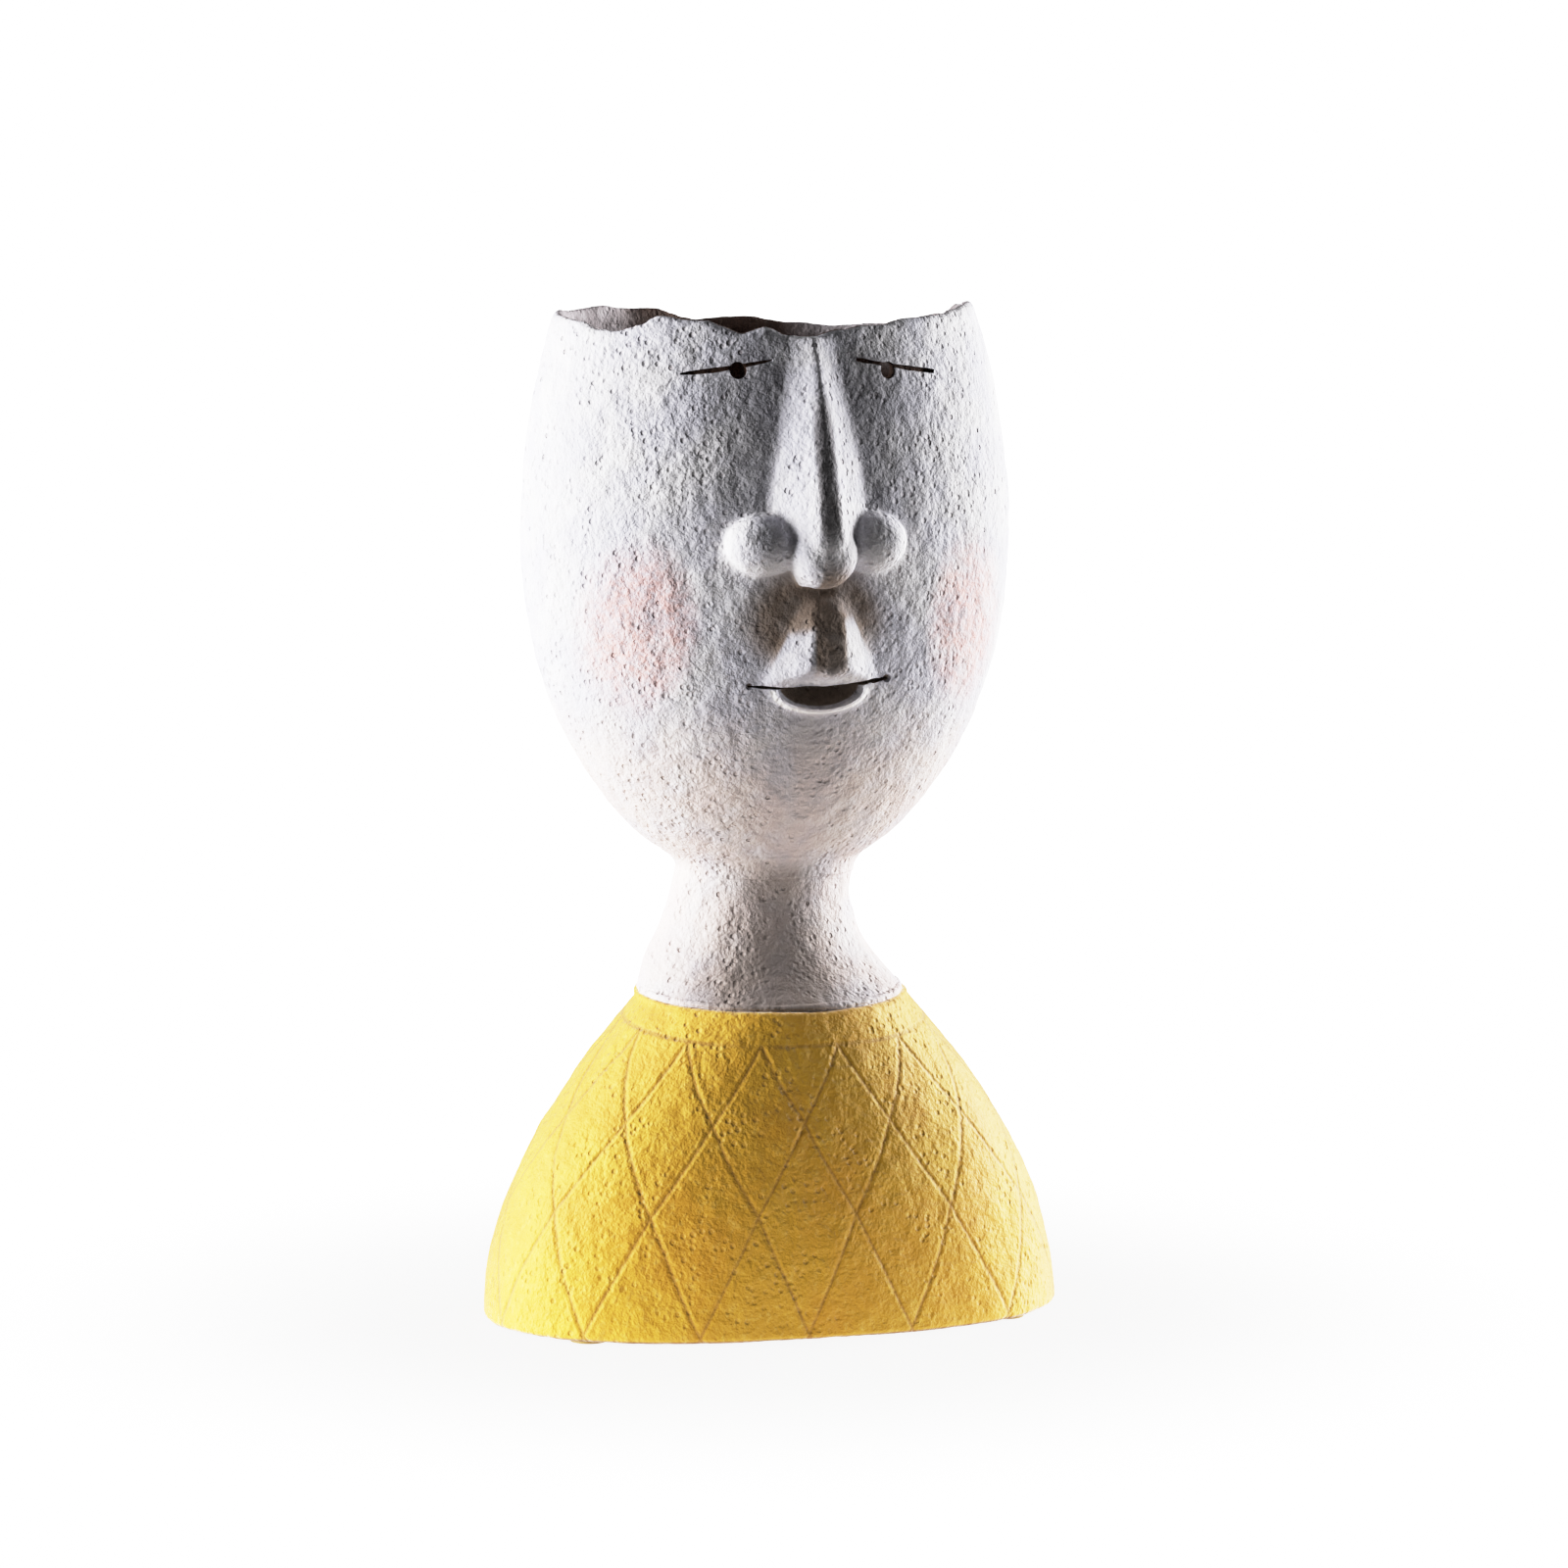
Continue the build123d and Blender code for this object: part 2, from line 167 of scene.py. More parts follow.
class Finish(Tree):
    """A material. Its wires x, y and z say where a point lies on the object, in millimetres."""

    def __init__(self, name):
        super().__init__(bpy.data.materials.new(name))
        spot = self.node("ShaderNodeTexCoord", output="Object")
        scale = {0: spot, "Scale": 1 / MM}
        self.place = self.node("ShaderNodeVectorMath", {"operation": "SCALE"}, scale)
        self.x, self.y, self.z = (
            self.node("ShaderNodeSeparateXYZ", None, {0: self.place}, axis) for axis in range(3)
        )

    def cloud(self, size, detail=2.0, roughness=0.5):
        """Soft noise between 0 and 1, with lumps of about the given size in millimetres."""
        values = {"Vector": self.place, "Scale": 1 / size}
        values.update(Detail=detail, Roughness=roughness)
        return self.node("ShaderNodeTexNoise", None, values, "Fac")

    def cells(self, size):
        """The distance to the nearest of many scattered points, in cells of the given size."""
        values = {"Vector": self.place, "Scale": 1 / size}
        return self.node("ShaderNodeTexVoronoi", {"feature": "F1"}, values, "Distance")

    def mix(self, amount, first, second):
        """A colour between two colours."""
        colours = {0: amount, 6: first, 7: second}
        return self.node("ShaderNodeMix", {"data_type": "RGBA"}, colours, 2)

    def attribute(self, name):
        """A number that is stored on the mesh's points."""
        return self.node("ShaderNodeAttribute", {"attribute_name": name}, None, "Fac")

    def bump(self, height, strength, distance=1.0 * MM):
        """A normal that follows a height. A height of 1 stands for the distance, in metres."""
        values = {"Strength": strength, "Distance": distance, "Height": height}
        return self.node("ShaderNodeBump", None, values, "Normal")

    def surface(self, **values):
        """Closes the material. Names are those of the shader's inputs, with _ for a space."""
        inputs = {name.replace("_", " "): value for name, value in values.items()}
        shader = self.node("ShaderNodeBsdfPrincipled", None, inputs)
        self.node("ShaderNodeOutputMaterial", None, {"Surface": shader})
        return self.owner


print("a screen's middle grey is", round(paint(128, 128, 128)[0], 3), "of white light")

# %% [markdown]
# ## Camera, light and floor
# A portrait of a small object is taken from a few steps away with a long lens, so that its sides
# stay upright. A wide lens close by would bend them.

# %% Camera
def new_piece(name, data):
    """An object in the scene, for a mesh, a light or a camera."""
    piece = bpy.data.objects.new(name, data)
    bpy.context.scene.collection.objects.link(piece)
    return piece


camera_distance = 1914.0
camera_height = 393.0
camera_azimuth = radians(-16)
camera_tilt = radians(6.5)
camera_pan = radians(0.134)

camera_data = bpy.data.cameras.new("camera")
camera_data.sensor_width = 36.0
camera_data.lens = 134.6
camera = new_piece("camera", camera_data)
camera.location = (
    camera_distance * sin(camera_azimuth) * MM,
    -camera_distance * cos(camera_azimuth) * MM,
    camera_height * MM,
)
camera.rotation_euler = (pi / 2 - camera_tilt, 0, camera_azimuth - camera_pan)
bpy.context.scene.camera = camera
print("lens", camera_data.lens, "mm at", camera_distance, "mm")

# %% [markdown]
# A studio lights white clay from both sides and leaves its front a little grey, which brings out
# the relief. A light in front would flatten it. A narrow lamp straight above only lights the bowl.

# %% Lights
# Lights are placed in metres.
light_target = Vector((0, 0, 0.18))
light_elevation = radians(6)
light_distance = 1.2
light_size = 0.8


def soft_box(name, azimuth, power):
    """A square light that looks at the middle of the planter. An azimuth of 0 is in front."""
    turn = radians(azimuth)
    direction = Vector((
        sin(turn) * cos(light_elevation),
        -cos(turn) * cos(light_elevation),
        sin(light_elevation),
    ))
    data = bpy.data.lights.new(name, "AREA")
    data.shape = "SQUARE"
    data.size = light_size
    data.energy = power
    light = new_piece(name, data)
    light.location = light_target + direction * light_distance
    light.rotation_euler = (light_target - light.location).to_track_quat("-Z", "Y").to_euler()


soft_box("light_left", -101, 46.0)
soft_box("light_right", 98, 43.0)

bowl_lamp = bpy.data.lights.new("light_bowl", "SPOT")
bowl_lamp.energy = 150.0
bowl_lamp.spot_size = radians(4.4)
bowl_lamp.spot_blend = 0.6
bowl_lamp.shadow_soft_size = 0.02
new_piece("light_bowl", bowl_lamp).location = (0, 0.006, 1.3)
print("two side lights and a lamp above the bowl")

# %% [markdown]
# The floor is white acrylic lit from below, which is how a shop's picture gets its white ground.
# If it lit the clay as brightly as it looks, the clay would lose its shade. So a Light Path node
# gives the camera a bright value and the clay a weaker one. The view curve rounds off highlights
# as a camera does: light up to 3 still has a tone.

# %% Backdrop and view
backdrop_seen, backdrop_cast = 3.0, 0.02

studio = Tree(bpy.data.worlds.new("studio"))
bpy.context.scene.world = studio.owner
seen = studio.node("ShaderNodeLightPath", output="Is Camera Ray")
strength = seen * (backdrop_seen - backdrop_cast) + backdrop_cast
white = {"Color": (1.0, 1.0, 1.0, 1.0), "Strength": strength}
backdrop = studio.node("ShaderNodeBackground", None, white)
studio.node("ShaderNodeOutputWorld", None, {"Surface": backdrop})

view = bpy.context.scene.view_settings
view.view_transform = "Standard"
view.use_curve_mapping = True
view.curve_mapping.white_level = (3.0, 3.0, 3.0)
shoulder = view.curve_mapping.curves[3]
for light, tone in ((0.033, 0.085), (0.1, 0.29), (0.2, 0.60), (0.333, 0.83), (0.55, 0.95)):
    shoulder.points.new(light, tone)
view.curve_mapping.update()
print("backdrop seen at", backdrop_seen, "and cast at", backdrop_cast)

# %% Floor
floor_reach = 40
floor_finish = Finish("studio_floor")
distance = (floor_finish.x ** 2 + floor_finish.y ** 2) ** 0.5
# Near the planter the floor that the camera sees glows less: a painted contact shadow.
painted_floor_shadow, bright = (1.4, 1.4, 1.4, 1), (3.0, 3.0, 3.0, 1)
warm, dark = (1.60, 1.52, 1.46, 1), (0.01, 0.01, 0.01, 1)
seen_glow = floor_finish.mix(distance.ease(80.0, 420.0), painted_floor_shadow, bright)
cast_glow = floor_finish.mix(distance.ease(130.0, 360.0), warm, dark)
seen = floor_finish.node("ShaderNodeLightPath", output="Is Camera Ray")
glow = floor_finish.mix(seen, cast_glow, seen_glow)
corners = [(x * floor_reach, y * floor_reach, 0) for x, y in ((-1, -1), (1, -1), (1, 1), (-1, 1))]
floor_mesh = bpy.data.meshes.new("floor")
floor_mesh.from_pydata(corners, [], [(0, 1, 2, 3)])
floor = new_piece("floor", floor_mesh)
floor_mesh.materials.append(floor_finish.surface(
    Base_Color=(0.06, 0.06, 0.06, 1),
    Roughness=0.8 + floor_finish.cloud(4.0) * 0.1,
    Emission_Color=glow,
    Emission_Strength=1.0,
))
print("a pale floor that glows round the planter")

# %% [markdown]
# ## Mesh helpers
# Castings of this kind are stacks of rings: the outside runs up, turns over the edge and comes
# back down inside. A Solidify modifier would give the wall one thickness. A grid of rings that
# closes on itself has the wall as it is drawn, and no loose faces.

# %% Ring meshes
def from_rings(name, rings, loop=False):
    """A closed mesh over rings of points in millimetres. loop joins the last ring to the first."""
    rings = np.asarray(rings, dtype=float) * MM
    rows, columns, _ = rings.shape
    faces = []
    for row in range(rows if loop else rows - 1):
        upper = (row + 1) % rows
        for column in range(columns):
            beside = (column + 1) % columns
            faces.append((
                row * columns + column,
                row * columns + beside,
                upper * columns + beside,
                upper * columns + column,
            ))
    if not loop:
        faces.append(tuple(range(columns))[::-1])
        faces.append(tuple((rows - 1) * columns + column for column in range(columns)))
    mesh = bpy.data.meshes.new(name)
    mesh.from_pydata(rings.reshape(-1, 3).tolist(), [], faces)
    shell = bmesh.new()
    shell.from_mesh(mesh)
    bmesh.ops.recalc_face_normals(shell, faces=shell.faces)
    shell.to_mesh(mesh)
    shell.free()
    return new_piece(name, mesh)


print("rings can be skinned")

# %% Working on pieces
def points_of(mesh):
    """The mesh's points in millimetres, as an array."""
    flat = np.empty(len(mesh.vertices) * 3)
    mesh.vertices.foreach_get("co", flat)
    return flat.reshape(-1, 3) / MM


def normals_of(mesh):
    flat = np.empty(len(mesh.vertices) * 3)
    mesh.vertices.foreach_get("normal", flat)
    return flat.reshape(-1, 3)


def set_points(mesh, points):
    mesh.vertices.foreach_set("co", (points * MM).ravel())
    mesh.update()


def roughen(mesh, lumps, seed):
    """Moves points along their normals by noise. lumps lists sizes and heights in millimetres."""
    points = points_of(mesh)
    height = np.zeros(len(points))
    shift = Vector((seed, 7.3 * seed, 3.1 * seed))
    for size, reach in lumps:
        height += [reach * noise.noise(Vector(point) / size + shift) for point in points]
    set_points(mesh, points + normals_of(mesh) * height[:, None])


def settle(piece, *modifiers):
    """Applies modifiers, each given as a type and its settings."""
    for kind, settings in modifiers:
        modifier = piece.modifiers.new(kind.lower(), kind)
        for key, value in settings.items():
            setattr(modifier, key, value)
    graph = bpy.context.evaluated_depsgraph_get()
    result = bpy.data.meshes.new_from_object(piece.evaluated_get(graph))
    result.name = piece.name
    piece.modifiers.clear()
    piece.data = result


def join(target, others):
    """Puts closed meshes into one object, without welding them."""
    joined = bmesh.new()
    for piece in (target, *others):
        joined.from_mesh(piece.data)
    joined.to_mesh(target.data)
    joined.free()
    for piece in others:
        bpy.data.objects.remove(piece, do_unlink=True)


def soft_edges(piece, angle=60):
    piece.data.shade_smooth()
    piece.data.set_sharp_from_angle(angle=radians(angle))


print("pieces can be roughened, joined and settled")

# %% [markdown]
# ## The head's egg
# The head is an egg, flatter from front to back. Its rim was torn while the clay was wet. Noise on
# a flat cut could stand in for that, but these waves are long and each is different, so their
# heights are listed by angle.

# %% Rim
rim_marks = (
    (-180, 329.6), (-173, 328.8), (-163, 328.2), (-154, 325.6), (-147, 325.5), (-139, 326.9),
    (-133, 330.3), (-126, 329.5), (-119, 329.1), (-115, 327.3), (-109.5, 324.7), (-103, 326.9),
    (-97.6, 324.8), (-91, 324.3), (-83, 326.2), (-76, 327.2), (-71, 327.4), (-64, 329.1),
    (-48.7, 329.9), (-38, 331.5), (-26, 332.7), (-6.6, 333.3), (5.6, 331.7), (16.9, 328.5),
    (40, 324.4), (56.9, 323.6), (72, 324.9), (82.7, 326.4), (97.6, 326.2), (112.8, 329.2),
    (128.8, 330.8), (150, 330.2), (166, 330.3),
)


def rim_height(angle):
    """The torn rim's height at an angle in degrees, 0 at +X and -90 at the face."""
    angle = (angle + 180) % 360 - 180
    marks = rim_marks + ((rim_marks[0][0] + 360, rim_marks[0][1]),)
    for (start, low), (end, high) in zip(marks, marks[1:]):
        if start <= angle <= end:
            share = (angle - start) / (end - start)
            return low + (high - low) * share * share * (3 - 2 * share)
    return rim_marks[0][1]


def turns_round(count):
    """Evenly spaced angles round a circle."""
    return [2 * pi * number / count for number in range(count)]


angles = turns_round(300)
tear = [0.7 * noise.noise(Vector((cos(a) * 5, sin(a) * 5, 0))) for a in angles]
edge = [rim_height(a * 180 / pi) + wobble for a, wobble in zip(angles, tear)]
print("rim from", round(min(edge), 1), "to", round(max(edge), 1), "mm")

# %% [markdown]
# Each column of the egg's grid runs from the foot under the chin up to the rim's own height there,
# over the edge, and down inside to the flat floor. The rows are spaced by the angle that the
# ellipse has reached, which keeps them even where the egg curves in.

# %% Egg
def egg_ring(turns, inset, gain=0.0):
    """A ring on the egg. turns holds, for each column, how far up the egg's side it lies."""
    ring = []
    for angle, turn in zip(angles, turns):
        rise = (head_rise + gain if turn > 0 else head_drop - inset) * sin(turn)
        x = (head_half_width - inset) * cos(turn) * cos(angle)
        y = head_offset + (head_half_depth - inset) * cos(turn) * sin(angle)
        ring.append((x, y, head_centre + rise))
    return ring


def rim_turns(below, rise):
    """The turn of each column at a depth below the torn edge."""
    return [asin((height - below - head_centre) / rise) for height in edge]


def flat_ring(half_width, half_depth, z):
    return [(half_width * cos(a), head_offset + half_depth * sin(a), z) for a in angles]


outer_rows, inner_rows = 90, 60
boss = (neck_waist - 8.0, neck_waist * depth_share - 8.0)
foot_turn = -asin((head_centre - chin_height) / head_drop)
floor_turn = -asin((head_centre - bowl_floor) / (head_drop - head_wall))
recess_floor = bowl_floor - recess_depth

rings = [
    flat_ring(drain_radius, drain_radius, spigot_height),
    flat_ring(*boss, spigot_height),
    flat_ring(*boss, chin_height + 1.0),
]
tops = rim_turns(2.0, head_rise)
for row in range(outer_rows + 1):
    share = row / outer_rows
    rings.append(egg_ring([foot_turn + (top - foot_turn) * share for top in tops], 0.0))
for inset, below in ((0.5, 0.7), (1.5, 0.1), (2.8, 0.3), (3.9, 1.4)):
    rings.append(egg_ring(rim_turns(below, head_rise), inset))
tops = rim_turns(4.0, head_rise + rim_wall_gain)
for row in range(inner_rows + 1):
    share = row / inner_rows
    turns = [top + (floor_turn - top) * share for top in tops]
    rings.append(egg_ring(turns, head_wall, rim_wall_gain))
recess = ((recess_radius, bowl_floor), (recess_radius, recess_floor), (drain_radius, recess_floor))
rings += [flat_ring(radius, radius, z) for radius, z in recess]
head = from_rings("head", rings, loop=True)
print("egg shell:", len(head.data.vertices), "points")

# %% [markdown]
# ## The face in relief
# A maker adds the features as soft clay: a long wedge for the nose, two balls beside its tip, a
# mound for the upper lip and a half cup for the lower one. A sculpting brush would do, but
# couldn't be repeated. Here each is a closed lump with its own sizes, rooted in the wall.

# %% Relief helpers
def face_y(x, z, inset=0.0):
    """Y of the egg's front surface at x and z, in millimetres."""
    height = head_rise if z > head_centre else head_drop
    across = x / (head_half_width - inset)
    up = (z - head_centre) / (height - inset)
    return head_offset - (head_half_depth - inset) * sqrt(max(1 - across ** 2 - up ** 2, 0.0))


def smooth_share(shares, position):
    """A value between given shares, which lie at equal steps of position from 0 to 1."""
    steps = len(shares) - 1
    where = min(max(position, 0.0), 1.0) * steps
    left = min(int(where), steps - 1)
    share = where - left
    before = shares[max(left - 1, 0)]
    after = shares[min(left + 2, steps)]
    first, second = shares[left], shares[left + 1]
    bend = (second - before) / 2, (after - first) / 2
    return (
        first + bend[0] * share
        + (3 * (second - first) - 2 * bend[0] - bend[1]) * share ** 2
        + (2 * (first - second) + bend[0] + bend[1]) * share ** 3
    )


def keep_in_wall(mesh, inset=3.2):
    """Pulls points that lie deep in the wall back out, so that nothing shows inside the bowl."""
    points = points_of(mesh)
    for number, (x, y, z) in enumerate(points):
        height = (head_rise if z > head_centre else head_drop) - inset
        out = sqrt(
            (x / (head_half_width - inset)) ** 2
            + ((y - head_offset) / (head_half_depth - inset)) ** 2
            + ((z - head_centre) / height) ** 2
        )
        if out < 1:
            y = head_offset + (y - head_offset) / out
            points[number, 1] = min(face_y(x, z, inset), y) if y < head_offset else y
    set_points(mesh, points)


print("face surface at the nose tip: y", round(face_y(0.0, 254.8), 1), "mm")

# %% Lumps
def wedge(name, middle_x, level, widths, ridges, reaches, flares, rows=30, lean=0.0):
    """A lump on the face in rows from its top down, wide at its root and narrow at its ridge.

    level gives the height of a point from its x and from how far down the lump it lies, 0 to 1.
    A flare over 1 makes a row's flanks hollow, so that they are steepest just below the ridge.
    lean turns the ridge's left half a little to the left.
    """
    rings = []
    for row in range(rows + 1):
        down = row / rows
        width, ridge, reach, flare = (
            smooth_share(shares, down) for shares in (widths, ridges, reaches, flares)
        )
        flank = [(width, -3.0), (width, -0.4)]
        for share in (0.12, 0.26, 0.40, 0.54, 0.68, 0.81, 0.92):
            flank.append((width + (ridge - width) * share, reach * share ** flare))
        front = [(ridge * 0.95, reach * 0.99), (ridge * 0.6, reach * 1.02), (0.0, reach * 1.03)]
        turned = [(out, lift * (1 - lean * out / ridge)) for out, lift in front]
        ring = []
        for side, half in ((-1, flank + turned), (1, (flank + front)[-2::-1])):
            for out, lift in half:
                x = middle_x + side * out
                z = level(x, down)
                ring.append((x, face_y(x, z) - lift, z))
        rings.append(ring)
    return from_rings(name, rings)


def ball(name, middle, radii, flat_above=None, press=0.1):
    """An ellipsoid in millimetres. A higher press flattens its front, and flat_above its top."""
    mesh = bpy.data.meshes.new(name)
    shape = bmesh.new()
    bmesh.ops.create_icosphere(shape, subdivisions=5, radius=1.0)
    for point in shape.verts:
        point.co.y = tanh(press * point.co.y) / tanh(press)
        x, y, z = (centre + reach * value for centre, reach, value in zip(middle, radii, point.co))
        if flat_above is not None and z > flat_above:
            z = flat_above + (z - flat_above) * 0.06
        point.co = Vector((x, y, z)) * MM
    shape.to_mesh(mesh)
    shape.free()
    return new_piece(name, mesh)


print("a wedge and a ball can be added to the face")

# %% [markdown]
# The nose runs from under the rim down to a round tip, with hollow flanks and a sharp ridge. One
# wedge gives it, from four lists that run from the top down: half width at the root, half width of
# the ridge, reach, and flare. Two flattened balls make the nostrils.

# %% Nose and nostrils
nose_top, nose_bottom = 323.6, 245.0
nose_widths = (7.8, 9.0, 10.4, 11.9, 13.4, 14.9, 16.3, 16.4, 12.0, 10.2, 6.6)
nose_ridges = (0.5, 0.8, 1.1, 1.5, 1.9, 2.4, 3.0, 3.6, 4.2, 4.2, 2.6)
nose_reaches = (3.2, 5.2, 7.0, 8.6, 10.2, 11.8, 13.2, 14.4, 15.0, 13.4, 8.0)
nose_flares = (1.4, 1.4, 1.35, 1.3, 1.25, 1.2, 1.2, 1.1, 0.7, 0.55, 0.55)
tip_height, nostril_height = 254.8, 258.4


def nose_level(x, down):
    return nose_top + (nose_bottom - nose_top) * down


nose = wedge("nose", -1.6, nose_level, nose_widths, nose_ridges, nose_reaches, nose_flares)
tip_middle = (-1.4, face_y(0.0, tip_height) - 5.0, tip_height)
relief = [nose, ball("tip", tip_middle, (10.6, 9.6, 10.6), press=0.8)]
for x, radius in ((-18.8, 12.7), (15.8, 12.1)):
    middle = (x, face_y(x, nostril_height) + 0.6, nostril_height)
    relief.append(ball("nostril", middle, (radius, 10.6, 10.2), press=0.5))
print("nose", round(nose_top - nose_bottom, 1), "mm long")

# %% [markdown]
# The upper lip is a mound whose lower edge is a bow with two peaks. The lower lip is the rim of a
# half cup. A second wedge and a ball with a flat top are enough for them.

# %% Lips
lip_top, lip_bottom = 241.0, 212.2
lip_widths = (7.6, 9.6, 11.8, 14.2, 16.6, 18.8, 20.0, 20.0, 19.0)
lip_ridges = (3.6, 4.0, 4.3, 4.6, 4.9, 5.2, 5.6, 7.8, 10.6)
lip_reaches = (1.4, 3.8, 5.8, 7.4, 8.6, 9.4, 9.8, 4.6, 0.8)
lip_flares = (1.2, 1.2, 1.2, 1.2, 1.15, 1.1, 1.05, 1.0, 1.0)
bow_share = 0.75  # how much of the mound lies above its bow
bow_middle, bow_dip, bow_peak = 1.5, 216.0, 218.6
peak_out = 6.0  # from the middle of the bow to each peak


def bow_height(x):
    """The lower edge of the mound, a bow with two peaks and a dip between them."""
    out = abs(x - bow_middle)
    if out < peak_out:
        return bow_dip + 2.6 * (1 - cos(pi * out / peak_out)) / 2
    return bow_peak - 4.6 * min((out - peak_out) / 11.0, 1.0)


def lip_level(x, down):
    if down < bow_share:
        return lip_top + (bow_height(x) - lip_top) * down / bow_share
    return bow_height(x) + (lip_bottom - bow_height(x)) * (down - bow_share) / (1 - bow_share)


lip_y = face_y(0, 208)
lip_lists = (lip_widths, lip_ridges, lip_reaches, lip_flares)
relief.append(wedge("upper_lip", 1.0, lip_level, *lip_lists, rows=24, lean=0.14))
relief.append(ball("lower_lip", (1.0, lip_y + 2.4, 211.4), (17.0, 6.4, 8.7), flat_above=211.2))
for lump in relief:
    keep_in_wall(lump.data)
print("relief lumps:", len(relief))

# %% [markdown]
# ## Fused and carved
# The lumps are welded to the egg by remeshing it all at about one millimetre. A Boolean union
# would keep a crease round each lump. The remesh gives the soft seams that a thumb leaves.

# %% Fuse
voxel = {"mode": "VOXEL", "voxel_size": 0.95 * MM, "use_smooth_shade": True}
join(head, relief)
settle(head, ("REMESH", voxel), ("SMOOTH", {"factor": 0.5, "iterations": 3}))
print("fused head:", len(head.data.vertices), "points")

# %% [markdown]
# The eyes are pin holes under a line that a needle scribed. The mouth is a slit over an open
# pocket. They have crisp edges, so a Boolean cuts them after the remesh, in one cut for each set
# of tools that don't touch.

# %% Carving tools
def groove(name, points, radius, depth, proud=0.0):
    """A closed tube along points on the face, to be cut out of it. Its ends taper.

    proud moves it forward, so that it also cuts what stands out from the face.
    """
    rings = []
    count = len(points)
    for number, (x, z) in enumerate(points):
        ahead = points[min(number + 1, count - 1)]
        behind = points[max(number - 1, 0)]
        along = Vector((ahead[0] - behind[0], 0, ahead[1] - behind[1])).normalized()
        side = along.cross(Vector((0, 1, 0)))
        thin = radius * min(1.0, 0.5 + 6.0 * min(number, count - 1 - number) / count)
        centre = Vector((x, face_y(x, z) - proud, z))
        ring = []
        for turn in turns_round(10):
            ring.append(centre + side * thin * cos(turn) + Vector((0, depth * sin(turn), 0)))
        rings.append(ring)
    return from_rings(name, rings)


def pin(name, x, z, radius):
    """A round pin from in front of the face into the bowl."""
    turns = turns_round(32)
    depths = (-70.0, -60.0, -50.0, -40.0, -30.0)
    rings = [[(x + radius * cos(t), y, z + radius * sin(t)) for t in turns] for y in depths]
    return from_rings(name, rings)


def carve(target, cutters):
    """Cuts closed meshes that don't touch each other out of the target."""
    tool, *others = cutters
    join(tool, others)
    cut = {"operation": "DIFFERENCE", "solver": "MANIFOLD", "object": tool}
    settle(target, ("BOOLEAN", cut))
    bpy.data.objects.remove(tool, do_unlink=True)


print("carving tools ready")

# %% Eyes and mouth
eye_radius = 2.7
pins, lines = [], []
for side, eye_x, eye_height in ((-1, -25.3, 313.1), (1, 24.1, 312.6)):
    pins.append(pin("eye_pin", eye_x, eye_height, eye_radius))
    lid = []
    for number in range(25):
        share = number / 24
        x = side * (42.6 - 28.2 * share) - 0.5 - 0.5 * side
        lid.append((x, 311.8 + 4.4 * share - 0.3 * sin(pi * share)))
    lines.append(groove("lid_tool", lid, 0.7, 2.2))
slit = []
for number in range(33):
    share = number / 32
    slit.append((-22.4 + 46.4 * share, 212.6 - 1.2 * sin(pi * share) + 1.5 * share ** 2))
lines.append(groove("slit_tool", slit, 0.65, 6.4, proud=3.0))
for x, z in ((-22.2, 212.6), (23.8, 214.0)):
    pins.append(ball("corner_tool", (x, face_y(x, z) - 0.6, z), (1.4, 1.9, 1.3)))
pocket = ball("pocket_tool", (0.9, lip_y - 3.4, 211.7), (15.0, 8.4, 7.0), flat_above=212.3)
for cutters in (lines, pins, [pocket]):
    carve(head, cutters)
print("carved head:", len(head.data.vertices), "points,", len(head.data.polygons), "faces")

# %% [markdown]
# The cuts go through the coat into the clay. How deep a point lies under the egg's skin follows
# from the egg's equation, and the points keep that depth. So the paint finds the holes by itself,
# where a mask painted by hand would miss their edges.

# %% Depth in the clay
points = points_of(head.data)
lift = points[:, 2] - head_centre
egg_height = np.where(lift > 0, head_rise, head_drop)
across = points[:, 0] / head_half_width
along = (points[:, 1] - head_offset) / head_half_depth
depth = (1 - np.sqrt(across ** 2 + along ** 2 + (lift / egg_height) ** 2)) * head_half_depth
layer = head.data.attributes.new("depth_in_clay", "FLOAT", "POINT")
layer.data.foreach_set("value", depth)
roughen(head.data, ((26.0, 0.55), (7.0, 0.30), (2.6, 0.18)), seed=1.7)
soft_edges(head)
print("relief stands out by up to", round(-depth.min(), 1), "mm")

# %% [markdown]
# ## The off-white coat
# The head is brown clay under a thick off-white coat that dried rough, with lumps, grain and small
# pits. The larger lumps are in the mesh. The finer ones go into a bump, because a mesh that holds
# them would be ten times as heavy.

# %% Rough skin
def coat_height(finish):
    """The coat's skin in millimetres, with its pits and its grain for the colours."""
    lumps = finish.cloud(5.0, 3.0, 0.6)
    grain = finish.cloud(1.3, 2.0, 0.6)
    patchy = finish.cloud(13.0).ease(0.40, 0.62)
    pits = finish.cells(2.9).ease(0.40, 0.12) * patchy
    return lumps * 1.4 + grain * 0.5 - pits * 0.55, pits, grain


def off_white(finish, pits):
    """The bare coat: cool and pale in patches, specked, brown in its pits, with a painted warm
    reflection of the yellow bust low down.
    """
    patches = finish.cloud(22.0, 3.0, 0.6).ease(0.36, 0.68)
    colour = finish.mix(patches, paint(201, 200, 210), paint(218, 216, 219))
    specks = finish.cloud(2.0, 3.0, 0.7).ease(0.58, 0.76)
    colour = finish.mix(specks * 0.3, colour, paint(176, 168, 174))
    colour = finish.mix(pits * 0.30, colour, paint(150, 140, 142))
    # Warm low down: a painted reflection of light bounced from the yellow bust onto the chin and
    # neck.
    low = finish.z.ease(214.0, 176.0) * (finish.cloud(14.0).ease(0.30, 0.62) * 0.6 + 0.4)
    return finish.mix(low * 0.6, colour, paint(222, 202, 192))


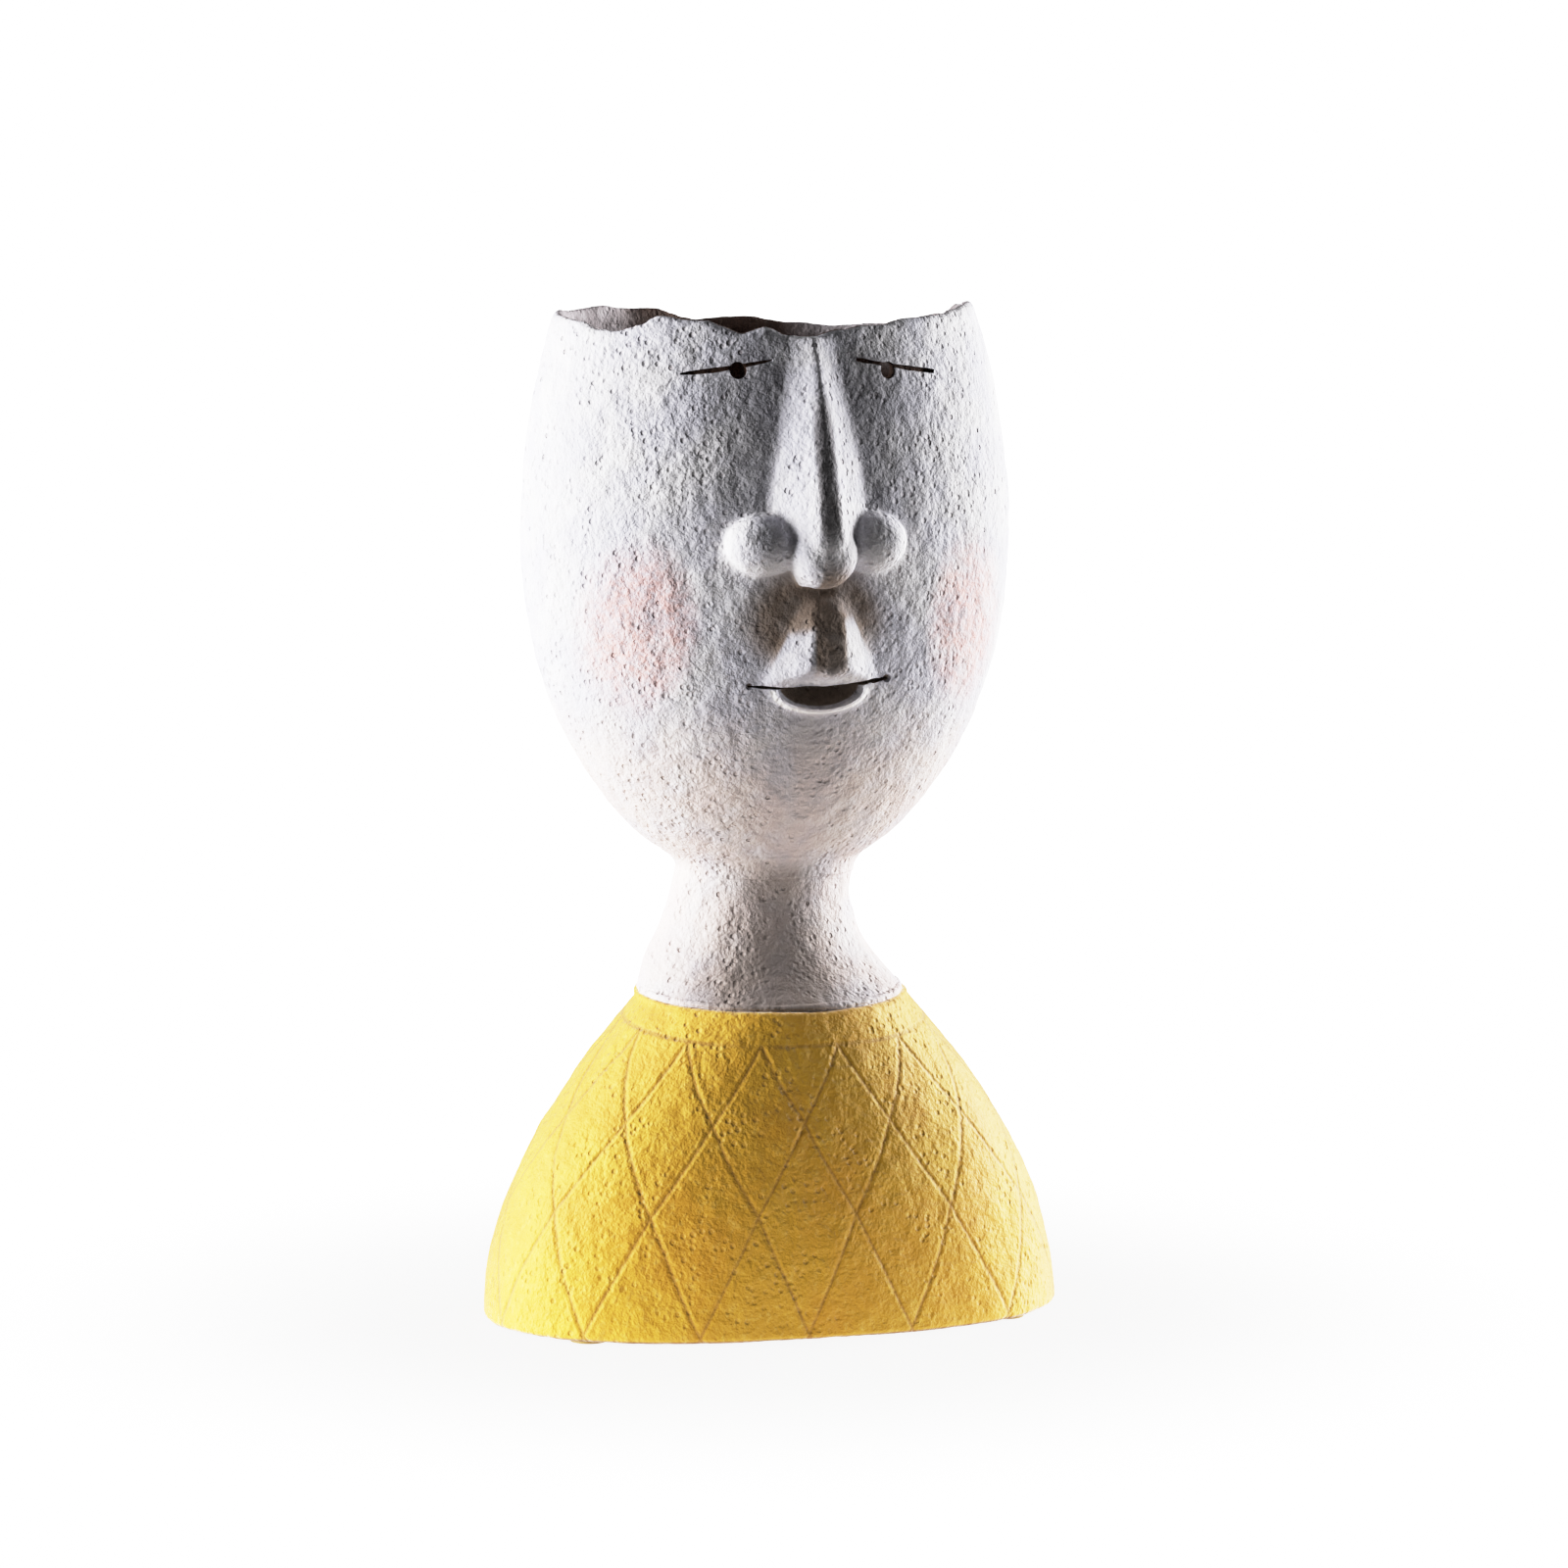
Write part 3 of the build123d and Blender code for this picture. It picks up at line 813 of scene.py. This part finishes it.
def white_coat(name, paint_over):
    """The whole coat. paint_over adds what is painted on this casting."""
    finish = Finish(name)
    height, pits, grain = coat_height(finish)
    holes = finish.cells(8.0).ease(0.12, 0.06) * finish.cloud(30.0).ease(0.50, 0.58)
    colour = paint_over(finish, off_white(finish, pits.most(holes * 2.0)))
    normal = finish.bump(height - holes, 0.9)
    return finish.surface(Base_Color=colour, Roughness=0.72 + grain * 0.16, Normal=normal)


print("off-white coat ready")

# %% [markdown]
# The cheeks have a patch of red chalk, brushed on dry. Painted brown shade lies under the nose,
# painted grey shade beside the nose and on its ridge, and a painted highlight along the lower
# lip's edge. Each could be a layer of its own, but one mask over one colour is enough. Noise
# breaks the masks up as dry paint does.

# %% Paint on the face
nose_middle = 1.6  # the nose's middle lies this far to the left


def oval(across, up):
    """How far out a point lies, squared. across and up are 1 at the oval's edge."""
    return across ** 2 + up ** 2


def facing(finish):
    """1 on the front of the head and 0 from its sides to its back."""
    return finish.y.ease(-8.0, -24.0)


def streaks(finish):
    return finish.cloud(9.0, 2.0).ease(0.30, 0.58)


def chalk_cheeks(finish, colour):
    brush = finish.cloud(2.6, 4.0, 0.72).ease(0.36, 0.62)
    patch = oval((abs(finish.x) - 55.0) / 18.0, (finish.z - 231.0) / 30.0).ease(1.15, 0.1)
    patch = patch * facing(finish) * (brush * 0.65 + 0.35) * (streaks(finish) * 0.5 + 0.5)
    return finish.mix(patch * 0.8, colour, paint(226, 176, 168))


def paint_shade_under_nose(finish, colour):
    """Painted brown shade under the nose: beside the lip's mound, in its furrow and along the
    nose's shadow.
    """
    hollow = oval((finish.x + 2.0) / 25.0, (finish.z - 234.0) / 20.0).ease(1.2, 0.35)
    furrow = abs(finish.x - 1.4).ease(6.0, 4.4) * finish.z.ease(214.0, 217.0)
    under_tip = (finish.z + finish.x * -0.25).ease(230.0, 234.0) * finish.z.ease(245.0, 242.0)
    sunk = finish.attribute("depth_in_clay").ease(-1.6, -0.5).most(furrow).most(under_tip)
    painted_shade = hollow * facing(finish) * (sunk * 0.92 + 0.08) * (streaks(finish) * 0.2 + 0.78)
    return finish.mix(painted_shade, colour, paint(134, 117, 104))


def paint_shade_by_nose(finish, colour):
    """Painted grey shade on the wall beside the nose, and a darker painted shade on the nose's
    forward-facing ridge.
    """
    depth = finish.attribute("depth_in_clay")
    out = abs(finish.x + nose_middle)
    beside = out.ease(40.0, 20.0) * depth.ease(-2.0, -0.4) * finish.z.ease(252.0, 266.0)
    beside = beside * finish.z.ease(322.0, 306.0) * facing(finish)
    colour = finish.mix(beside * 0.6, colour, paint(136, 134, 140))
    # Painted shade on the ridge, which faces forward between the side lights.
    ridge = out.ease(4.2, 2.6) * depth.ease(-5.0, -9.0) * finish.z.ease(256.0, 266.0)
    return finish.mix(ridge * (streaks(finish) * 0.3 + 0.55), colour, paint(104, 100, 102))


def paint_lip_highlight(finish, colour):
    # A painted highlight along the lower lip's rim.
    out = oval((finish.x - 1.0) / 16.4, (finish.z - 211.4) / 8.0) ** 0.5
    line = out.ease(0.89, 0.95) * out.ease(1.05, 0.98)
    line = line * finish.z.ease(211.6, 210.8) * facing(finish)
    return finish.mix(line, colour, paint(250, 247, 247))


print("four paints for the face")

# %% [markdown]
# Where a point lies deeper than the coat, the clay is bare. Just inside the rim a lilac spray went
# over the edge, mostly at the sides, and dust has made the clay of the mouth paler. A second
# material would end at the faces' edges, and the stored depth doesn't.

# %% Bare clay
def bare_clay(finish, colour):
    clay = finish.mix(finish.cloud(12.0, 4.0, 0.65), paint(50, 35, 27), paint(98, 66, 47))
    sides = abs(finish.x + 4.0).ease(22.0, 40.0) * 0.97 + 0.03
    eyes = finish.y.ease(-30.0, -38.0) * finish.z.ease(318.6, 317.4)
    sides = sides * (1.0 - eyes)
    mottled = finish.cloud(18.0, 3.0, 0.6).ease(0.35, 0.6) * 0.4 + 0.6
    spray = finish.z.ease(304.0, 322.0) * sides * mottled
    clay = finish.mix(spray, clay, paint(208, 200, 204))
    mouth = finish.z.ease(218.0, 216.0) * finish.y.ease(-30.0, -38.0)
    clay = finish.mix(mouth, clay, paint(138, 122, 108))
    return finish.mix(finish.attribute("depth_in_clay").ease(0.5, 1.1), colour, clay)


def paint_head(finish, colour):
    for step in (chalk_cheeks, paint_shade_under_nose, paint_shade_by_nose, paint_lip_highlight, bare_clay):
        colour = step(finish, colour)
    return colour


head.data.materials.clear()
head.data.materials.append(white_coat("white_coat_head", paint_head))
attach(head, "planter")
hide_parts("head_bowl")
print("head dressed")

# %% [markdown]
# ## The neck
# The neck is a short casting that flares into the collar. It bows back and sways a little. A
# turned profile would be straight, so each ring gets its own width and middle, from listed shares
# that are eased between.

# %% Neck
neck_ups = (0.0, 0.12, 0.22, 0.40, 0.70, 1.0)
neck_shares_out = (1.0, 0.78, 0.60, 0.30, 0.03, 0.0)
neck_shares_back = (0.0, 0.55, 0.85, 1.0, 0.75, 0.0)
neck_bow, neck_sway = 7.0, 1.8
neck_wall, neck_foot_wall = 7.7, 13.0
neck_foot = collar_half_width - 0.8
collar_share = collar_half_depth / collar_half_width


def eased(shares, up):
    """A share at a height, averaged over a short stretch so that the profile has no corners."""
    stretch = [up + 0.05 * offset for offset in (-1.0, -0.5, 0.0, 0.5, 1.0)]
    return sum(np.interp(stretch, neck_ups, shares)) / len(stretch)


def neck_ring(columns, up, inset):
    """A ring round the neck. up is 0 at the collar and 1 under the chin."""
    out = eased(neck_shares_out, up)
    back = eased(neck_shares_back, up)
    half_width = neck_waist + (neck_foot - neck_waist) * out
    half_depth = half_width * (collar_share + (depth_share - collar_share) * up)
    ring = []
    for turn in turns_round(columns):
        x = (half_width - inset) * cos(turn) - neck_sway * back
        y = (half_depth - inset) * sin(turn) + head_offset * up + neck_bow * back
        slant = collar_slope * y * (1 - up)
        ring.append((x, y, collar_height + slant + (chin_height - collar_height) * up))
    return ring


def shade_front(finish, colour):
    """Painted brown-grey shade on the front of the neck, which fades out under the chin."""
    front = finish.y.ease(-6.0, -26.0) * abs(finish.x + 9.0).ease(34.0, 10.0)
    return finish.mix(front * finish.z.ease(156.0, 140.0) * 0.78, colour, paint(126, 114, 106))


neck_columns = 220
outer_rows, inner_rows = 60, 20
levels = [(0.0, neck_foot_wall), (0.0, 1.0)]
levels += [(row / outer_rows, 0.0) for row in range(outer_rows + 1)]
levels += [(1.0, 1.0), (1.0, neck_wall)]
for row in range(inner_rows, 0, -1):
    up = row / inner_rows
    levels.append((up, neck_wall + (neck_foot_wall - neck_wall) * (1 - up)))
rings = [neck_ring(neck_columns, up, inset) for up, inset in levels]
neck = from_rings("neck_casting", rings, loop=True)
roughen(neck.data, ((18.0, 0.35), (6.0, 0.25), (2.6, 0.12)), seed=4.2)
soft_edges(neck)
neck.data.materials.append(white_coat("white_coat_neck", shade_front))
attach(neck, "planter")
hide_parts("neck")
print("neck:", len(neck.data.polygons), "faces")

# %% [markdown]
# ## The two seams
# The castings were closed with coils of clay. The one under the chin is smeared into a hollow, and
# the one at the collar is pressed flat by a thumb, so its width varies. A bevel over the joint
# would be too even. Both follow the neck's own rings.

# %% Clay coils
def seam_line(ring, inset):
    """Centres and outward directions along a ring, drawn in by the inset."""
    middle = sum((Vector(point) for point in ring), Vector()) / len(ring)
    outwards = [(Vector(point) - middle).to_2d().normalized().to_3d() for point in ring]
    return [Vector(point) - outward * inset for point, outward in zip(ring, outwards)], outwards


def smeared_seam(name, centres, outwards, reach, rise):
    """A coil smeared into a hollow: its skin curves from the neck's side to under the head."""
    profile = [(-1.5, -reach - 0.4)]
    for step in range(13):
        turn = pi / 2 * step / 12
        out = reach * (1 - cos(turn)) - 0.12
        profile.append((out, reach * (sin(turn) - 1) + rise * out + 0.12))
    profile += [(reach + 0.5, rise * reach + 1.8), (-1.5, 1.2)]
    rings = []
    for centre, outward in zip(centres, outwards):
        rings.append([centre + outward * out + Vector((0, 0, up)) for out, up in profile])
    return from_rings(name, rings, loop=True)


def pressed_seam(name, centres, outwards, width, height):
    """A pressed coil along a closed line of centres. outwards point away from the seam."""
    rings = []
    for centre, outward in zip(centres, outwards):
        press = 1.0 + 0.16 * noise.noise(centre / 9.0 + Vector((5.0, 0, 0)))
        ring = []
        for turn in turns_round(16):
            across = outward * (width * press * cos(turn))
            ring.append(centre + across + Vector((0, 0, height * press * sin(turn))))
        rings.append(ring)
    return from_rings(name, rings, loop=True)


chin_line = seam_line(neck_ring(200, 1.0, 0.0), 0.0)
chin_coil = smeared_seam("chin_seam", *chin_line, 4.6, 0.6)
collar_line, collar_out = seam_line(neck_ring(240, 0.0, 0.0), 1.7)
collar_line = [point + Vector((0, 0, 1.0)) for point in collar_line]
collar_coil = pressed_seam("collar_seam", collar_line, collar_out, 1.7, 1.2)
for coil, node in ((chin_coil, "chin_clay_coil"), (collar_coil, "collar_clay_coil")):
    roughen(coil.data, ((5.0, 0.18),), seed=3.0)
    soft_edges(coil, 70)
    coil.data.materials.append(white_coat(f"white_coat_{coil.name}", shade_front))
    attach(coil, "planter")
    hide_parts(node)
print("two seams closed")

# %% [markdown]
# ## The bust
# The bust spreads from an oval, slanting collar to a wide base with squarer corners, and is hollow
# over a flat foot ring. A loft between two curves would give the outside, but the lattice needs
# points in even rows, so this is a grid too.

# %% Bust casting
bust_columns, bust_rows = 640, 140
bust_shoulder = 105.3
bust_rise = bust_shoulder - bust_foot
bust_swell = 1.9  # a higher power keeps the bust wide further up
bust_square = 0.3  # how far the base goes from an ellipse towards a rectangle
edge_radius = 2.0
bust_wall = 9.0
foot_ring = 15.0


def bust_ring(z_of, inset=0.0):
    """A ring round the bust. z_of gives the height for an angle."""
    ring = []
    for turn in turns_round(bust_columns):
        z = z_of(turn)
        up = min(max((z - bust_foot) / bust_rise, 0.0), 1.0)
        out = 1 - up ** bust_swell
        half_width = collar_half_width + (bust_half_width - collar_half_width) * out - inset
        half_depth = collar_half_depth + (bust_half_depth - collar_half_depth) * out - inset
        power = 2 / (2.0 + bust_square * out)
        x = half_width * copysign(abs(cos(turn)) ** power, cos(turn))
        y = half_depth * copysign(abs(sin(turn)) ** power, sin(turn))
        ring.append((x, y, z))
    return ring


def collar_z(turn):
    return collar_height + collar_slope * collar_half_depth * sin(turn)


rings = []
for step in range(5):
    turn_in = pi / 2 * step / 5
    lift = edge_radius * (1 - cos(turn_in))
    rings.append(bust_ring(lambda turn: bust_foot + lift, edge_radius * (1 - sin(turn_in))))
low = bust_foot + edge_radius
for row in range(bust_rows + 1):
    share = row / bust_rows
    rings.append(bust_ring(lambda turn: low + (collar_z(turn) - 0.8 - low) * share))
skin_rows = len(rings)
for below, inset in ((0.2, 0.3), (0.0, 1.2), (0.0, 8.0), (11.0, 8.6)):
    rings.append(bust_ring(lambda turn: collar_z(turn) - below, inset))
hollow_top, hollow_foot = bust_shoulder - 10.0, bust_foot + 10.0
for row in range(13):
    height = hollow_top + (hollow_foot - hollow_top) * row / 12
    rings.append(bust_ring(lambda turn: height, bust_wall))
for height in (hollow_foot, bust_foot):
    rings.append(bust_ring(lambda turn: height, foot_ring))
bust = from_rings("bust_casting", rings, loop=True)
print("bust:", len(bust.data.polygons), "faces")

# %% [markdown]
# ## The scribed lattice
# A diamond lattice is scribed through the yellow, with fourteen diamonds round the bust and three
# rows of crossings below a ring at the shoulder. A picture of it would be too coarse. So both
# families of lines are stored on the points as a signed distance in millimetres. It stays smooth
# between points, and the shader draws a crisp line from it.

# %% Lattice distances
diamonds_round = 14
ring_height, ring_fall = 100.0, 0.13  # at the sides, and how it falls towards the front
crossing_rows = (70.0, 41.0, 3.0)
widen = 1.33  # evens out the diamonds between the front and the sides
first_crossing = 2.4  # degrees from the front
off_skin = 20.0  # a distance that stands for no line at all


def lattice_level(y, z):
    """0 at the shoulder ring, then 1, 2 and 3 at the rows of crossings below it."""
    marks = (ring_height + ring_fall * y, *crossing_rows)
    number = next((row for row in range(2) if z >= marks[row + 1]), 2)
    return number + (marks[number] - z) / (marks[number] - marks[number + 1])


def signed_distance(phase):
    """Distance in millimetres to the nearest line of a family, from the phase of its wave."""
    wave = np.cos(pi * phase / 2).reshape(len(rings), bust_columns)
    tilt = np.sin(pi * phase / 2).reshape(wave.shape)
    grid = points.reshape(*wave.shape, 3)
    slope = []
    for axis in (0, 1):
        step_length = np.linalg.norm(np.roll(grid, -1, axis) - np.roll(grid, 1, axis), axis=2)
        change = np.abs(np.roll(wave, -1, axis) - np.roll(wave, 1, axis))
        swing = np.abs(np.roll(tilt, -1, axis) - np.roll(tilt, 1, axis))
        slope.append(np.hypot(change, swing) / np.maximum(step_length, 0.05))
    steep = np.maximum(np.hypot(slope[0], slope[1]), 0.02)
    return (wave / steep).ravel()


points = points_of(bust.data)
around = np.empty(len(points))
level = np.empty(len(points))
for number, (x, y, z) in enumerate(points):
    waver = 0.035 * noise.noise(Vector((x, y, z)) / 21.0)
    degrees = atan2(x / widen, -y) * 180 / pi + first_crossing
    around[number] = degrees * diamonds_round * 2 / 360 + waver
    level[number] = lattice_level(y, z + 22.0 * waver)
ring_distance = points[:, 2] - ring_height - ring_fall * points[:, 1]
ring_distance += [0.8 * noise.noise(Vector(p) / 30.0 + Vector((9, 0, 0))) for p in points]
scribes = {
    "left": signed_distance(around + level),
    "right": signed_distance(around - level),
    "ring": ring_distance,
}
on_skin = np.arange(len(points)) < skin_rows * bust_columns
for which, values in scribes.items():
    values[~on_skin] = off_skin
    layer = bust.data.attributes.new(f"scribe_{which}", "FLOAT", "POINT")
    layer.data.foreach_set("value", values)
print("lattice of", diamonds_round, "diamonds marked out")

# %% [markdown]
# The needle went about a tenth of a millimetre deep. The mesh gets that groove along the same
# distances, so that the lines catch the light, and then its rough skin.

# %% Scribed grooves
line_depth, ring_depth, line_width = 0.10, 0.08, 0.7

below_ring = np.clip((0.6 - ring_distance) / 1.2, 0, 1)
nearest = np.minimum(np.abs(scribes["left"]), np.abs(scribes["right"]))
cut = line_depth * np.exp(-(nearest / line_width) ** 2) * below_ring
cut = np.maximum(cut, ring_depth * np.exp(-(ring_distance / line_width) ** 2))
set_points(bust.data, points - normals_of(bust.data) * (cut * on_skin)[:, None])
roughen(bust.data, ((22.0, 0.5), (7.0, 0.28), (2.6, 0.12)), seed=8.8)
points = points_of(bust.data)
points[:, 2] = np.maximum(points[:, 2], bust_foot)
points[:, 0] = np.clip(points[:, 0], -bust_half_width, bust_half_width)
set_points(bust.data, points)
soft_edges(bust)
print("grooves cut", line_depth, "mm deep")

# %% [markdown]
# ## The mustard coat
# The yellow was sponged over a first ochre coat, so it is pale where it is thick and darker where
# it is thin. Its front is darker and deeper yellow, which is painted shade. The needle pushed up a
# faint ridge beside each brown line. One flat yellow would be simpler, but wouldn't look like slip
# on clay.

# %% Yellow coat
def scribe_masks(finish):
    """Where the lines are brown, how deep they are, and where their ridges stand, from 0 to 1."""
    left, right, ring = (finish.attribute(f"scribe_{which}") for which in scribes)
    below = ring.ease(0.9, 0.1)
    nearest = abs(left).least(abs(right))
    faint = finish.cloud(26.0).ease(0.34, 0.52) * 0.7 + 0.3
    frayed = finish.cloud(1.8, 2.0).ease(0.25, 0.60) * 0.5 + 0.5
    line = (nearest.ease(0.75, 0.20) * below).most(abs(ring).ease(0.9, 0.25) * faint) * frayed
    sunk = (nearest.ease(1.15, 0.0) * below).most(abs(ring).ease(1.1, 0.0) * faint)
    ridge = nearest.ease(0.9, 1.4) * nearest.ease(2.2, 1.4) * below
    return line, sunk, ridge


def mustard_coat(name):
    finish = Finish(name)
    height, pits, grain = coat_height(finish)
    line, sunk, ridge = scribe_masks(finish)
    sponged = finish.cloud(13.0, 4.0, 0.62).ease(0.30, 0.70)
    colour = finish.mix(sponged, paint(214, 163, 20), paint(226, 177, 44))
    # Painted shade: the front, which faces away from the side lights, is darker and deeper yellow.
    front = finish.y.ease(-24.0, -52.0) * abs(finish.x).ease(72.0, 20.0)
    colour = finish.mix(front * 0.6, colour, paint(186, 144, 6))
    thin = finish.cloud(34.0, 3.0, 0.6).ease(0.42, 0.70)
    colour = finish.mix(thin * 0.5, colour, paint(202, 144, 12))
    pale = finish.cloud(2.6, 3.0, 0.7).ease(0.52, 0.72)
    colour = finish.mix(pale * 0.3, colour, paint(242, 210, 108))
    colour = finish.mix(pits * 0.15, colour, paint(150, 104, 20))
    colour = finish.mix(line * 0.55, colour, paint(140, 98, 28))
    bare = finish.z.ease(bust_foot + 1.2, bust_foot + 0.3)
    clay = finish.mix(sponged, paint(96, 62, 42), paint(134, 92, 62))
    return finish.surface(
        Base_Color=finish.mix(bare, colour, clay),
        Roughness=0.55 + grain * 0.18,
        Normal=finish.bump(height * 0.85 - sunk * 0.22 + ridge * 0.06, 0.9),
        Sheen_Weight=0.7,
        Sheen_Roughness=0.5,
        Sheen_Tint=(1.0, 0.92, 0.84, 1),
    )


bust.data.materials.append(mustard_coat("mustard_coat"))
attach(bust, "planter")
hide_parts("bust")
print("bust dressed")

# %% [markdown]
# ## Rubber pieces
# The stopper and the four pads are moulded, so the frame's plain shapes are right as they are.
# They only get their rubber, matt and dusty in places. The pads are amber, so that they don't show
# as black spots under the yellow.

# %% Rubber
def rubber(name, clean, dusty):
    finish = Finish(name)
    dust = finish.cloud(5.0, 4.0, 0.65).ease(0.45, 0.75)
    return finish.surface(
        Base_Color=finish.mix(dust * 0.5, clean, dusty),
        Roughness=0.62 + dust * 0.2,
        Normal=finish.bump(finish.cloud(0.5, 2.0), 0.25, 0.2 * MM),
    )


stopper_rubber = rubber("stopper_rubber", paint(46, 42, 40), paint(98, 84, 72))
pad_rubber = rubber("pad_rubber", paint(168, 140, 84), paint(196, 176, 132))
for name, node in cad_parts.items():
    if name == "drain_plug" or name.startswith("rubber_foot"):
        node.data.materials.clear()
        node.data.materials.append(stopper_rubber if name == "drain_plug" else pad_rubber)
print("rubber pieces dressed")

# %% [markdown]
# ## The end
# The view layer is brought up to date.

# %% The end
bpy.context.view_layer.update()
